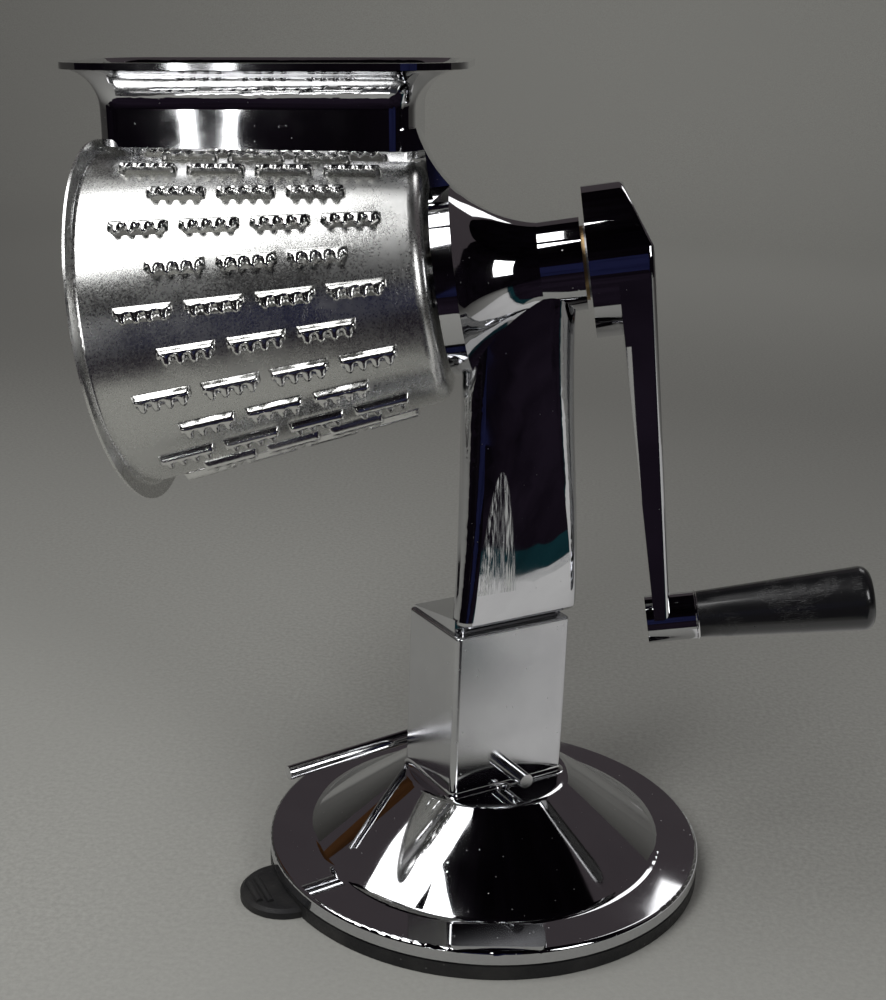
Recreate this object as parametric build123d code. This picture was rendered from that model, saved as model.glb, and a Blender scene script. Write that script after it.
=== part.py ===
from build123d import *
import os
from math import atan2, cos, degrees, hypot, pi, radians, sin, tan

# Hand-cranked rotary shredder on a suction base, in millimetres, +Z up.
# The origin is the centre of the suction cup's underside, on the worktop.
# +X runs with the crank shaft towards the handle; -Y is the side the work is watched from.

FIT = 0.05             # radial running clearance of a shaft in its bush
CLEAR = 0.3            # general clearance between pieces that move past each other
CENTRED_UP = (Align.CENTER, Align.CENTER, Align.MIN)

# ---- suction base: flange, dome and post, one casting with a hollow underside
FLANGE_R = 91.0        # outer radius of the flange
FLANGE_TOP = 12.0      # height of the flange above the worktop
RIM_H = 6.5            # height of the flange's rolled rim
FLANGE_W = 17.5        # width of the flange outside the dome
DOME_FOOT_R = FLANGE_R - FLANGE_W
DOME_TOP_R = 34.0      # where the dome flattens under the post
DOME_TOP = 41.0        # height of the dome
RIM_EDGE = 1.0         # bevel of the rim's lower edge
FLANGE_ROUND, DOME_FOOT_ROUND, DOME_TOP_ROUND = 1.6, 6.0, 5.0     # roundings of the profile
BASE_WALL = 3.0        # wall of the flange and dome
POST_W = 54.0          # long side of the post
POST_D = 38.5          # short side of the post
POST_SHIFT = (-1.0, 1.75)   # its middle from the base's centre, along its own sides
POST_TOP = 111.0       # height of the post's open end
POST_TURN = 35.5       # turn of the post about Z, in degrees, against the crank shaft
POST_EDGE_R = 2.2      # rounding of the post's upright edges
POST_WALL = 3.2
POST_FOOT_R = 2.5      # fillet where the post meets the dome
PAD_W, PAD_D, PAD_H = 37.0, 14.5, 1.3   # raised bare pad on the flange
PAD_ANGLE = -83.5      # its direction from the axis, in degrees
PAD_CORNER_R = 3.0
PAD_SINK = 1.0         # depth of the pad below the flange's skin

# ---- rubber suction cup
CUP_R = FLANGE_R       # outer radius at the worktop
CUP_EDGE_H = FLANGE_TOP - RIM_H         # rubber showing below the chrome rim
CUP_LIP_W = 9.0        # flat sealing ring at the edge
CUP_HOLLOW = 2.2       # depth of the hollow underside at the middle
CUP_SKIN = 3.4         # rubber left above the hollow
CUP_BOSS_R = 26.0      # thick middle that the pull stem is bonded to
CUP_BOSS_H = 10.0
BOSS_FOOT = 6.0        # slope round that middle
LIP_STEP, LIP_RUN = 1.0, 3.0            # bead inside the sealing edge: its width, its slope
TAB_R = 18.0           # rounded release tab
TAB_REACH = CUP_R - 1.0        # distance of the tab's centre from the axis
TAB_ANGLE = -150.5     # its direction, in degrees
TAB_T = 4.0
TAB_RIBS, TAB_RIB_R = 2, 1.3             # grip ribs on the tab
TAB_RIB_IN, TAB_RIB_GAP = 9.0, 4.0       # first rib from the tab's edge, spacing

# ---- lever, cam and pull stem
LEVER_Z = 47.8         # height of the cross shaft
LEVER_A = 1.1          # offset of the cross shaft along the post's long side
LEVER_R = 3.0
LEVER_OUT = 12.0       # how far the shaft stands out of the post's front
LEVER_BACK = 9.0       # distance of the arm's centre line behind the post
LEVER_ARM = 78.5       # length of the arm from the cross shaft
LEVER_DROOP = 3.8      # how far the arm hangs below level, in degrees
LEVER_BEND_R = 7.0
CAM_R = 5.5            # eccentric on the cross shaft
CAM_PLAY = 0.5         # play beside the cam in the stem's window
CAM_THROW = 2.25       # half of the lift
CAM_W = 8.0
CAM_HUB_GAP = 0.7      # free play between the cam and the stem's window
PIN_R, PIN_SET = 1.0, 0.6      # cross pin of the cam, depth of its ends below the cam's face
CLIP_R, CLIP_T = 5.0, 1.0      # snap rings that keep the cross shaft in the post
STEM_SIDE = 3.5        # bar left on each side of the stem's window
STEM_T = 8.0
STEM_CAP = 4.0         # bridge above the window
STEM_ROD_R = 4.0
STEM_PLATE_R, STEM_PLATE_T = 22.0, 2.0

# ---- crank shaft's axis
AXIS_Z = 250.5         # height of the axis above the origin
AXIS_TILT = 10.0       # rise of the axis towards the handle, in degrees

# ---- body casting: leg, neck, end plate and hopper
NECK_R = 17.5
NECK_END = 28.0        # end of the neck, measured along the axis
PLATE_R = 36.0         # end plate behind the cutter
PLATE_FACE = -25.4     # its face, measured along the axis
TRUMPET_START = 12.0   # where the neck starts to flare
GUSSET_EDGE = 2.0      # end of the flare beyond the plate's face
TRUMPET_MID = (-12.5, 30.0)   # a point on the flare: along the axis, radius
GUSSET_R = 58.0        # reach of the flare up to the hopper
GUSSET_RIM, GUSSET_LAP = 8.0, 8.5        # rim of the flare: its width, its length into the hopper's wall
BORE_R = 11.0          # bore of the neck, for the bushes
LEG_TOP_W, LEG_TOP_D, LEG_TOP_R = 42.0, 30.0, 10.0      # inside the neck
LEG_TOP_X, LEG_TOP_Z = 4.8, 246.0
LEG_NECK_W, LEG_NECK_D, LEG_NECK_R = 43.0, 27.0, 9.0    # below the neck
LEG_NECK_Y, LEG_NECK_Z, LEG_NECK_TURN = -1.0, 212.0, 5.0
LEG_MID_W, LEG_MID_D, LEG_MID_R = 46.0, 18.0, 7.0
LEG_MID_X, LEG_MID_Y, LEG_MID_Z, LEG_MID_TURN = 7.0, -5.0, 170.0, 18.0
LEG_FOOT_W, LEG_FOOT_D, LEG_FOOT_R = 56.5, 11.0, 5.0    # at the foot
LEG_FOOT_SHIFT = 3.6   # the foot's middle along the post's long side
LEG_SET = 0.6          # its front face behind the post's front face
LEG_TUCK = 3.6         # rounding of the foot's underside
LEG_GAP = 1.8          # gap between the foot's rounded edge and the post's rim
SEAT_INSET = 1.6       # shoulder that rests on the post, inside the post's outline
SEAT_HIGH, SEAT_LOW = 6.0, 1.2          # height of its sloping top behind the leg and at the back
PLUG_L = 42.0          # length of the plug inside the post
PLUG_FIT = 0.3         # gap round the plug
HOPPER_W = 120.0       # outside width of the hopper along X
HOPPER_D = 55.0        # outside depth of the hopper
HOPPER_FRONT_Y = -4.0  # its front wall
HOPPER_MID_X = -98.8
HOPPER_LOW, HOPPER_RIM = AXIS_Z + 11.5, AXIS_Z + 73.5     # its lower end and its rim
LIP_EDGE = 2.5         # thickness of the lip's edge
HOPPER_LEAN = 2.0      # the rim rises towards the handle, in degrees
HOPPER_WALL = 3.2
HOPPER_CORNER_R = 9.0
LIP_OUT = 14.0         # reach of the flared lip
LIP_SKEW = 0.21        # extra reach of the lip towards the handle, as a share
LIP_H = 17.0           # height of the flare
TOOTH_GAP = 1.3        # gap between the hopper's edge and the turning teeth

# ---- shredding cone, one pressing with raised toothed louvres
CONE_BIG_END, CONE_SMALL_END = -150.0, -27.4      # along the axis
CONE_BIG_R, CONE_SMALL_R = 64.0, 45.0
SHEET = 1.0
CONE_NOSE_R = 5.0      # rounding between the cone and its end face
CONE_RIM_R = 70.0      # turned-out rim at the wide end
CONE_HOLE_R = 6.8      # hole in the end face, for the shaft
RIM_BEND_R = 1.5       # bend between the cone and its rim
LOUVRE_ROWS = 24       # every second row is a short one
ROW_PHASE = 0.1        # turn of the first row from the top, in rows
LOUVRE_PITCH = 24.8    # spacing along a row
LOUVRE_FIRST = -126.0  # first louvre of a long row, along the axis
LONG_ROW, SHORT_ROW = 4, 3
LOUVRE_L, LOUVRE_W, LOUVRE_H = 19.5, 6.2, 2.6
LOUVRE_SKIN = 0.8      # thickness of the raised metal
LOUVRE_CHEEK = 1.0     # thickness of the closed ends
LOUVRE_TEETH, TOOTH_DEPTH = 4, 2.6
SLOT_START, SLOT_W = 2.0, 3.6            # cut through the sheet below each louvre
HUB_PLATE_R, HUB_PLATE_T = 18.0, 2.5
HUB_R, HUB_L = 10.5, 15.0
RIVET_R, RIVET_HEAD_R, RIVET_HEAD_H, RIVET_CIRCLE_R, RIVETS = 1.6, 3.0, 1.3, 14.4, 3

# ---- crank shaft and its bearings
SHAFT_R = 6.5
BUSH_FLANGE_R, BUSH_FLANGE_T, BUSH_L = 14.0, 1.2, 18.0
COLLAR_R = 10.0        # shaft collar against the front bush
SQUARE = 9.0           # drive square inside the cone's hub
SQUARE_FIT = 0.1       # clearance on each side of the square
PLUNGER_R, PLUNGER_L = 2.0, 7.0          # spring plunger that holds the cone
WASHER_T = 0.8

# ---- crank: hub drum, arm and handle boss
DRUM_R = 28.7
DRUM_FACE = 30.0       # face of the drum next to the neck, along the axis
ARM_INNER = 40.0       # inner face of the arm at the hub
ARM_TIP_INNER = 35.0   # and at the handle end
HUB_OUTER = 54.0       # outer face at the hub's crown
HUB_CROWN = 7.0        # height of the crown above the axis, with the crank hanging down
DRUM_EDGE = 45.5       # outer edge of the drum at the top
ARM_TIP_OUTER = 45.8   # outer face at the handle end
THROW = 147.0          # hub centre to handle centre
ARM_TIP_R = 8.8
ARM_EDGE_R = 2.5       # rounding of the arm's long edges
BOSS_R, BOSS_END = 9.6, 56.5
DRUM_RECESS, DRUM_RIM, DRUM_HUB_R = 5.0, 4.0, 13.0
CRANK_SCREW_R, CRANK_SCREW_HEAD_R, CRANK_SCREW_L = 3.0, 6.0, 22.0
SCREW_SEAT = 3.0       # depth of the screw head's seat in the hub
SCREW_PULL = 4.0       # distance from the screw's seat to the shaft's end
DRIVER_W, DRIVER_DEEP = 1.2, 1.2       # driver slot in the screw's head

# ---- handle
GRIP_L = 69.0
GRIP_SMALL_R, GRIP_BIG_R = 9.4, 13.1
GRIP_END_R = 4.5       # rounding at the free end
FERRULE_R, FERRULE_T = 9.9, 1.2
SPINDLE_R, SPINDLE_SEAT = 3.0, 12.0     # radius, depth of its seat in the boss
SPINDLE_HEAD_R, SPINDLE_HEAD_T = 5.0, 1.8
GRIP_SINK_R, GRIP_SINK = 6.6, 5.0       # sunk end of the grip, over the spindle's head
GRIP_WASHER_R, GRIP_WASHER_T = 6.0, 1.0

# ---- places that follow from the sizes above
SHAFT_FRONT = POST_D / 2 + LEVER_OUT                        # front end of the cross shaft
ARM_LINE = -POST_D / 2 - LEVER_BACK                         # centre line of the lever's arm
WINDOW_W = 2 * (CAM_R + CAM_THROW + CAM_PLAY)                   # the cam turns inside this window
WINDOW_LOW = LEVER_Z - CAM_THROW - CAM_R - CAM_HUB_GAP
WINDOW_TOP = LEVER_Z - CAM_THROW + CAM_R + CAM_HUB_GAP
CONE_SLOPE = atan2(CONE_BIG_R - CONE_SMALL_R, CONE_SMALL_END - CONE_BIG_END)
HUB_PLATE_LOW = CONE_SMALL_END - SHEET - HUB_PLATE_T
HUB_BACK = HUB_PLATE_LOW - HUB_L                            # free end of the cone's hub
PLUNGER_AT = HUB_BACK + HUB_L / 2
HEAD_SEAT = HUB_OUTER - SCREW_SEAT                          # under the crank screw's head
SHAFT_END = HEAD_SEAT - SCREW_PULL                          # outer end of the drive shaft
SCREW_LOW = HEAD_SEAT - CRANK_SCREW_L
GRIP_START = BOSS_END + FERRULE_T
GRIP_SEAT = GRIP_START + GRIP_L - GRIP_SINK

shaft_frame = Plane(
    origin=(0, 0, AXIS_Z),
    x_dir=(-sin(radians(AXIS_TILT)), 0, cos(radians(AXIS_TILT))),
    z_dir=(cos(radians(AXIS_TILT)), 0, sin(radians(AXIS_TILT))),
)                                       # local x: up from the axis, y: towards -Y, z: along it
post_turn = Rot(0, 0, POST_TURN) * Pos(*POST_SHIFT)
#                                         local x: the post's long side, y: towards its back
cross_frame = post_turn * Pos(LEVER_A, 0, LEVER_Z) * Rot(90, 0, 0)
#                                         local z: out of the post's front, y: up


def cylinder(radius, low, high, x=0.0, y=0.0):
    return Pos(x, y, low) * Cylinder(radius, high - low, align=CENTRED_UP)


def turned(points, radii=None):
    """Solid of revolution about Z from (radius, height) corners, each with its rounding."""
    corners = [(r, 0, z) for r, z in points]
    outline = FilletPolyline(*corners, radius=radii or [0] * len(points), close=True)
    return revolve(make_face(outline), Axis.Z)


def bar(width, depth, corner, low, high):
    return extrude(Pos(0, 0, low) * RectangleRounded(width, depth, corner), high - low)


# ---------------------------------------------------------------- suction base
def suction_base():
    dome = turned(
        [(0, CUP_EDGE_H), (FLANGE_R - RIM_EDGE, CUP_EDGE_H), (FLANGE_R, CUP_EDGE_H + RIM_EDGE),
         (FLANGE_R, FLANGE_TOP), (DOME_FOOT_R, FLANGE_TOP + 1), (DOME_TOP_R, DOME_TOP), (0, DOME_TOP)],
        [0, 0, 0, FLANGE_ROUND, DOME_FOOT_ROUND, DOME_TOP_ROUND, 0],
    )
    post = post_turn * bar(POST_W, POST_D, POST_EDGE_R, FLANGE_TOP, POST_TOP)
    shell = dome + post
    foot = [
        edge for edge in shell.edges()
        if FLANGE_TOP + 5 < edge.center().Z < DOME_TOP + 2
        and edge.bounding_box().size.Z < 4
        and hypot(edge.center().X, edge.center().Y) < hypot(POST_W, POST_D) / 2 + 1
        and not any(abs(v.Z - FLANGE_TOP) < 1 for v in edge.vertices())
    ]
    shell = fillet(foot, POST_FOOT_R)
    rim = shell.faces().sort_by(Axis.Z)[-1].outer_wire().edges()
    shell = fillet(rim, POST_WALL / 3)
    slope = atan2(DOME_TOP - FLANGE_TOP, DOME_FOOT_R - DOME_TOP_R)
    drop = BASE_WALL / cos(slope)
    hollow = turned([
        (0, CUP_EDGE_H - 1), (FLANGE_R - BASE_WALL, CUP_EDGE_H - 1),
        (FLANGE_R - BASE_WALL, FLANGE_TOP - BASE_WALL), (DOME_FOOT_R, FLANGE_TOP + 1 - drop),
        (DOME_TOP_R, DOME_TOP - drop), (0, DOME_TOP - drop),
    ])
    socket = post_turn * bar(
        POST_W - 2 * POST_WALL, POST_D - 2 * POST_WALL, POST_EDGE_R / 2, FLANGE_TOP, POST_TOP + 1)
    pad = Rot(0, 0, PAD_ANGLE) * Pos(DOME_FOOT_R + 1 + PAD_D / 2, 0, FLANGE_TOP - PAD_SINK) * extrude(
        RectangleRounded(PAD_D, PAD_W, PAD_CORNER_R), PAD_SINK + PAD_H)
    shaft_hole = cross_frame * cylinder(LEVER_R + FIT, -POST_D, POST_D)
    return shell + pad - hollow - socket - shaft_hole


def suction_cup():
    lip = CUP_R - CUP_LIP_W
    body = turned([
        (0, CUP_HOLLOW), (CUP_BOSS_R, CUP_HOLLOW), (lip, 0), (CUP_R, 0),
        (CUP_R, CUP_EDGE_H), (lip - LIP_STEP, CUP_EDGE_H), (lip - LIP_RUN, CUP_SKIN),
        (CUP_BOSS_R + BOSS_FOOT, CUP_HOLLOW + CUP_SKIN), (CUP_BOSS_R, CUP_BOSS_H), (0, CUP_BOSS_H),
    ])
    tab = extrude(Circle(TAB_R), TAB_T)
    tab = chamfer(tab.edges().filter_by(GeomType.CIRCLE).sort_by(Axis.Z)[-1], TAB_T / 3)
    ribs = [
        Pos(TAB_R - TAB_RIB_IN + TAB_RIB_GAP * i, 0, TAB_T) * Rot(90, 0, 0)
        * Cylinder(TAB_RIB_R, 2 * (TAB_R - TAB_RIB_IN) - TAB_RIB_GAP * i)
        for i in range(TAB_RIBS)
    ]
    tab = Rot(0, 0, TAB_ANGLE) * Pos(TAB_REACH, 0, 0) * (tab + ribs)
    return body + tab


# ---------------------------------------------------------------- lever and stem
def lever_rod():
    """One bent rod: the cross shaft and the arm behind the post, round at both ends."""
    droop = radians(LEVER_DROOP)
    end = (-LEVER_ARM * cos(droop), -LEVER_ARM * sin(droop), ARM_LINE)
    path = FilletPolyline((0, 0, SHAFT_FRONT), (0, 0, ARM_LINE), end, radius=LEVER_BEND_R)
    rod = sweep(Plane(origin=(0, 0, SHAFT_FRONT), z_dir=(0, 0, -1)) * Circle(LEVER_R), path=path)
    rod -= Rot(90, 0, 0) * cylinder(PIN_R, -LEVER_R - 1, LEVER_R + 1)
    return cross_frame * rod


def lever_cam():
    cam = Pos(0, -CAM_THROW, -CAM_W / 2) * Cylinder(CAM_R, CAM_W, align=CENTRED_UP)
    cam -= cylinder(LEVER_R, -CAM_W, CAM_W)
    cam -= Rot(90, 0, 0) * cylinder(PIN_R, -2 * CAM_R, 2 * CAM_R)
    return cross_frame * cam


def cam_pin():
    half = CAM_R - PIN_SET
    return cross_frame * Pos(0, -CAM_THROW, 0) * Rot(90, 0, 0) * cylinder(PIN_R, -half, half)


def lever_clips():
    """Two snap rings on the cross shaft, inside the post's walls."""
    wall = POST_D / 2 - POST_WALL
    ring = cylinder(CLIP_R, 0, CLIP_T) - cylinder(LEVER_R, -1, CLIP_T + 1)
    ring -= Pos(0, CLIP_R, CLIP_T / 2) * Box(LEVER_R, 2 * (CLIP_R - LEVER_R) + 1, 2 * CLIP_T)
    places = (wall - CLEAR - CLIP_T, -wall + CLEAR)
    return Compound([cross_frame * Pos(0, 0, z) * ring for z in places])


def cup_stem():
    """Pull stem: a window round the cam, above a rod that ends in the cup's plate."""
    yoke_w = WINDOW_W + 2 * STEM_SIDE
    yoke_low = WINDOW_LOW - STEM_CAP
    yoke = Pos(0, 0, yoke_low) * Box(
        yoke_w, STEM_T, WINDOW_TOP + STEM_CAP - yoke_low, align=CENTRED_UP)
    window = Pos(0, 0, WINDOW_LOW) * Box(
        WINDOW_W, STEM_T + 2, WINDOW_TOP - WINDOW_LOW, align=CENTRED_UP)
    rod = cylinder(STEM_ROD_R, CUP_BOSS_H + STEM_PLATE_T, yoke_low)
    return post_turn * Pos(LEVER_A, 0, 0) * (yoke - window + rod)


def stem_plate():
    return post_turn * cylinder(STEM_PLATE_R, CUP_BOSS_H, CUP_BOSS_H + STEM_PLATE_T)


# ---------------------------------------------------------------- body casting
def leg_section(width, depth, corner, height, x, y, turn):
    return Pos(x, y, height) * Rot(0, 0, turn) * RectangleRounded(width, depth, corner)


def foot_section(inset, height):
    """Section of the foot in the post's own directions, smaller by an inset all round."""
    width, depth = LEG_FOOT_W - 2 * inset, LEG_FOOT_D - 2 * inset
    middle = -POST_D / 2 + LEG_SET + LEG_FOOT_D / 2
    return post_turn * Pos(LEG_FOOT_SHIFT, middle, height) * RectangleRounded(
        width, depth, LEG_FOOT_R - inset)


def foot_underside(steps=4):
    """Lofted quarter round under the foot, down to the gap above the post's rim."""
    sections = []
    for step in range(steps + 1):
        angle = pi / 2 * step / steps
        height = POST_TOP + LEG_GAP + LEG_TUCK * (1 - sin(angle))
        sections.append(foot_section(LEG_TUCK * (1 - cos(angle)), height))
    return loft(sections, ruled=True)


def shoulder():
    """Wedge on top of the plug, which rests on the post's rim and slopes down to the back."""
    low, high = -POST_D / 2 + SEAT_INSET + LEG_TUCK, POST_D / 2 - SEAT_INSET
    side = Plane.YZ * make_face(Polyline(
        (low, POST_TOP), (low, POST_TOP + SEAT_HIGH), (high, POST_TOP + SEAT_LOW),
        (high, POST_TOP), close=True))
    return post_turn * extrude(side, POST_W / 2 - SEAT_INSET, both=True)


def leg():
    blade = loft([
        leg_section(LEG_TOP_W, LEG_TOP_D, LEG_TOP_R, LEG_TOP_Z, LEG_TOP_X, 0, 0),
        leg_section(LEG_NECK_W, LEG_NECK_D, LEG_NECK_R, LEG_NECK_Z, LEG_TOP_X, LEG_NECK_Y, LEG_NECK_TURN),
        leg_section(LEG_MID_W, LEG_MID_D, LEG_MID_R, LEG_MID_Z, LEG_MID_X, LEG_MID_Y, LEG_MID_TURN),
        foot_section(0, POST_TOP + LEG_GAP + LEG_TUCK),
    ])
    plug = post_turn * bar(
        POST_W - 2 * (POST_WALL + PLUG_FIT), POST_D - 2 * (POST_WALL + PLUG_FIT), POST_EDGE_R / 2,
        POST_TOP - PLUG_L, POST_TOP + SEAT_LOW)
    return blade + foot_underside() + shoulder() + plug


def trumpet_face():
    """Half section of the flare between the neck and the cutter's end, in (radius, axis)."""
    edge, end, inner = PLATE_FACE - GUSSET_EDGE, PLATE_FACE - GUSSET_LAP, GUSSET_R - GUSSET_RIM
    outside = ThreePointArc(
        (NECK_R, 0, TRUMPET_START), (TRUMPET_MID[1], 0, TRUMPET_MID[0]), (GUSSET_R, 0, edge))
    rest = Polyline(
        (GUSSET_R, 0, edge), (GUSSET_R, 0, end), (inner, 0, end), (inner, 0, PLATE_FACE),
        (0, 0, PLATE_FACE), (0, 0, TRUMPET_START), (NECK_R, 0, TRUMPET_START))
    return make_face(outside + rest)


def hopper_frame():
    return Pos(HOPPER_MID_X, HOPPER_FRONT_Y + HOPPER_D / 2, HOPPER_RIM) * Rot(0, -HOPPER_LEAN, 0)


def hopper_section(grow, height):
    reach = max(grow, 0) * LIP_SKEW
    return Pos(reach, 0, height) * RectangleRounded(
        HOPPER_W + 2 * (grow + reach), HOPPER_D + 2 * grow, HOPPER_CORNER_R + grow)


def hopper_flare(inset, out, rise, steps=5):
    """Lofted flare of the lip: a quarter ellipse from the upright wall to the edge."""
    sections = []
    for step in range(steps + 1):
        angle = pi / 2 * step / steps
        sections.append(hopper_section(out * (1 - cos(angle)) - inset, rise * sin(angle) - LIP_H))
    return loft(sections)


def hopper():
    low = HOPPER_LOW - HOPPER_RIM
    outside = extrude(hopper_section(0, low), -LIP_H - low)
    outside += hopper_flare(0, LIP_OUT, LIP_H - LIP_EDGE)
    outside += extrude(hopper_section(LIP_OUT, -LIP_EDGE), LIP_EDGE)
    inside = extrude(hopper_section(-HOPPER_WALL, low - 1), 1 - LIP_H - low)
    inside += hopper_flare(HOPPER_WALL, LIP_OUT + HOPPER_WALL - LIP_EDGE / 3, LIP_H + LIP_EDGE / 10)
    return outside, inside


def cutter_room():
    """Space swept by the teeth and the rim, which the hopper's lower edge follows."""
    slope = (CONE_BIG_R - CONE_SMALL_R) / (CONE_SMALL_END - CONE_BIG_END)
    reach = LOUVRE_H + TOOTH_GAP
    rim_side = CONE_BIG_END + 3 * SHEET
    return turned([
        (0, CONE_BIG_END - CONE_RIM_R), (CONE_RIM_R + TOOTH_GAP, CONE_BIG_END - CONE_RIM_R),
        (CONE_RIM_R + TOOTH_GAP, rim_side), (CONE_BIG_R - slope * 3 * SHEET + reach, rim_side),
        (CONE_SMALL_R + reach, PLATE_FACE), (0, PLATE_FACE),
    ])


def body_casting():
    outside, inside = (hopper_frame() * solid for solid in hopper())
    trumpet = revolve(trumpet_face(), Axis.Z)
    disc = trumpet & cylinder(PLATE_R, PLATE_FACE, TRUMPET_START)
    sector = Pos(0, HOPPER_FRONT_Y, HOPPER_LOW) * Box(
        HOPPER_W, HOPPER_D, GUSSET_R * 2, align=(Align.CENTER, Align.MIN, Align.MIN))
    gusset = (shaft_frame * trumpet) & sector
    neck = cylinder(NECK_R, PLATE_FACE + BUSH_FLANGE_T, NECK_END)
    solid = (outside + gusset) - inside - shaft_frame * cutter_room()
    solid = solid + shaft_frame * (disc + neck) + leg()
    bore = cylinder(BORE_R, PLATE_FACE - 1, NECK_END + 1)
    bore += cylinder(BUSH_FLANGE_R + FIT, PLATE_FACE - 1, PLATE_FACE + BUSH_FLANGE_T)
    return solid - shaft_frame * bore


# ---------------------------------------------------------------- bearings and crank shaft
def bush(flange_low, flange_high, low, high):
    body = cylinder(BORE_R - FIT, low, high) + cylinder(BUSH_FLANGE_R, flange_low, flange_high)
    return shaft_frame * (body - cylinder(SHAFT_R + FIT, low - BUSH_L, high + BUSH_L))


def front_bush():
    return bush(PLATE_FACE, PLATE_FACE + BUSH_FLANGE_T, PLATE_FACE, PLATE_FACE + BUSH_L)


def rear_bush():
    return bush(NECK_END, NECK_END + BUSH_FLANGE_T, NECK_END - BUSH_L, NECK_END + BUSH_FLANGE_T)


def thrust_washer():
    low = NECK_END + BUSH_FLANGE_T
    ring = cylinder(BUSH_FLANGE_R - 1, low, DRUM_FACE)
    return shaft_frame * (ring - cylinder(SHAFT_R + FIT, low - 1, DRUM_FACE + 1))


def square(side, low, high):
    return Pos(0, 0, low) * Box(side, side, high - low, align=CENTRED_UP)


def drive_shaft():
    """Crank shaft: journal, collar behind the cone, and a square at each end."""
    shaft = cylinder(SHAFT_R, PLATE_FACE, DRUM_FACE)
    shaft += cylinder(COLLAR_R, CONE_SMALL_END, PLATE_FACE)
    shaft += square(SQUARE, HUB_BACK + CLEAR, CONE_SMALL_END)
    shaft += square(SQUARE, DRUM_FACE, SHAFT_END)
    shaft -= cylinder(CRANK_SCREW_R, SCREW_LOW - 1, SHAFT_END + 1)
    plunger_hole = Pos(0, 0, PLUNGER_AT) * Rot(0, 90, 0) * cylinder(
        PLUNGER_R, SQUARE / 2 - FIT - PLUNGER_L, SQUARE)
    return shaft_frame * (shaft - plunger_hole)


def spring_plunger():
    """Spring plunger in the drive square, which holds the cone's hub."""
    top = SQUARE / 2 - FIT
    edge = PLUNGER_R / 2
    pin = turned([
        (0, top - PLUNGER_L), (PLUNGER_R, top - PLUNGER_L), (PLUNGER_R, top - edge),
        (PLUNGER_R - edge, top), (0, top),
    ])
    return shaft_frame * Pos(0, 0, PLUNGER_AT) * Rot(0, 90, 0) * pin


# ---------------------------------------------------------------- crank
def crank_arm():
    """Hub drum, tapering arm and handle boss, a teardrop from outside and a wedge from the side."""
    tear = make_hull([
        *Circle(DRUM_R).edges(),
        *(Pos(-THROW, 0, 0) * Circle(ARM_TIP_R)).edges(),
    ])
    tip = -THROW - ARM_TIP_R
    side = make_face(Polyline(
        (DRUM_R, 0, DRUM_FACE), (DRUM_R, 0, DRUM_EDGE), (HUB_CROWN, 0, HUB_OUTER),
        (tip, 0, ARM_TIP_OUTER), (tip, 0, ARM_TIP_INNER), (-DRUM_R, 0, ARM_INNER),
        (-DRUM_R, 0, DRUM_FACE), close=True))
    wedge = extrude(side, DRUM_R + 1, both=True)
    arm = extrude(Pos(0, 0, DRUM_FACE) * tear, HUB_OUTER - DRUM_FACE + 1) & wedge
    sides = [edge for edge in arm.edges() if abs(edge.center().Y) > 1]
    outer = [edge for edge in sides if edge.center().Z > min(ARM_TIP_OUTER, DRUM_EDGE) - 1]
    inner = [
        edge for edge in sides
        if edge.center().Z < ARM_INNER and edge.length > THROW / 2 and edge.center().X < -DRUM_R
    ]
    arm = fillet(outer + inner, ARM_EDGE_R)
    drum_cut = Pos(0, 0, DRUM_FACE) * extrude(tear, ARM_INNER - DRUM_FACE) - cylinder(
        DRUM_R, DRUM_FACE - 1, ARM_INNER + 1)
    arm -= drum_cut
    arm += cylinder(BOSS_R, ARM_TIP_INNER + 2, BOSS_END, x=-THROW)
    recess = cylinder(DRUM_R - DRUM_RIM, DRUM_FACE - 1, DRUM_FACE + DRUM_RECESS)
    arm -= recess - cylinder(DRUM_HUB_R, DRUM_FACE - 2, DRUM_FACE + DRUM_RECESS + 1)
    arm -= square(SQUARE + 2 * SQUARE_FIT, DRUM_FACE - 1, SHAFT_END)
    arm -= cylinder(CRANK_SCREW_R + FIT, DRUM_FACE, HUB_OUTER + 1)
    arm -= cylinder(CRANK_SCREW_HEAD_R + CLEAR, HEAD_SEAT, HUB_OUTER + 1)
    arm -= cylinder(SPINDLE_R, BOSS_END - SPINDLE_SEAT, BOSS_END + 1, x=-THROW)
    return shaft_frame * arm


def crank_screw():
    top = HEAD_SEAT + SCREW_SEAT
    edge = SCREW_SEAT / 3
    head = turned([
        (0, HEAD_SEAT), (CRANK_SCREW_HEAD_R, HEAD_SEAT), (CRANK_SCREW_HEAD_R, top - edge),
        (CRANK_SCREW_HEAD_R - edge, top), (0, top),
    ])
    slot = Pos(0, 0, top) * Box(DRIVER_W, 2 * CRANK_SCREW_HEAD_R + 1, 2 * DRIVER_DEEP)
    return shaft_frame * (head - slot + cylinder(CRANK_SCREW_R, SCREW_LOW, HEAD_SEAT))


# ---------------------------------------------------------------- handle
def grip_ferrule():
    hole, edge = SPINDLE_R + FIT, FERRULE_T / 3
    ring = turned([
        (hole, BOSS_END), (FERRULE_R - edge, BOSS_END), (FERRULE_R, BOSS_END + edge),
        (FERRULE_R, GRIP_START - edge), (FERRULE_R - edge, GRIP_START), (hole, GRIP_START),
    ])
    return shaft_frame * Pos(-THROW, 0, 0) * ring


def grip_spindle():
    low = GRIP_SEAT + GRIP_WASHER_T
    high = low + SPINDLE_HEAD_T
    pin = cylinder(SPINDLE_R, BOSS_END - SPINDLE_SEAT, low)
    edge = SPINDLE_HEAD_T * 2 / 3
    head = turned([
        (0, low), (SPINDLE_HEAD_R, low), (SPINDLE_HEAD_R, high - edge),
        (SPINDLE_HEAD_R - edge, high), (0, high),
    ])
    return shaft_frame * Pos(-THROW, 0, 0) * (pin + head)


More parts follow.
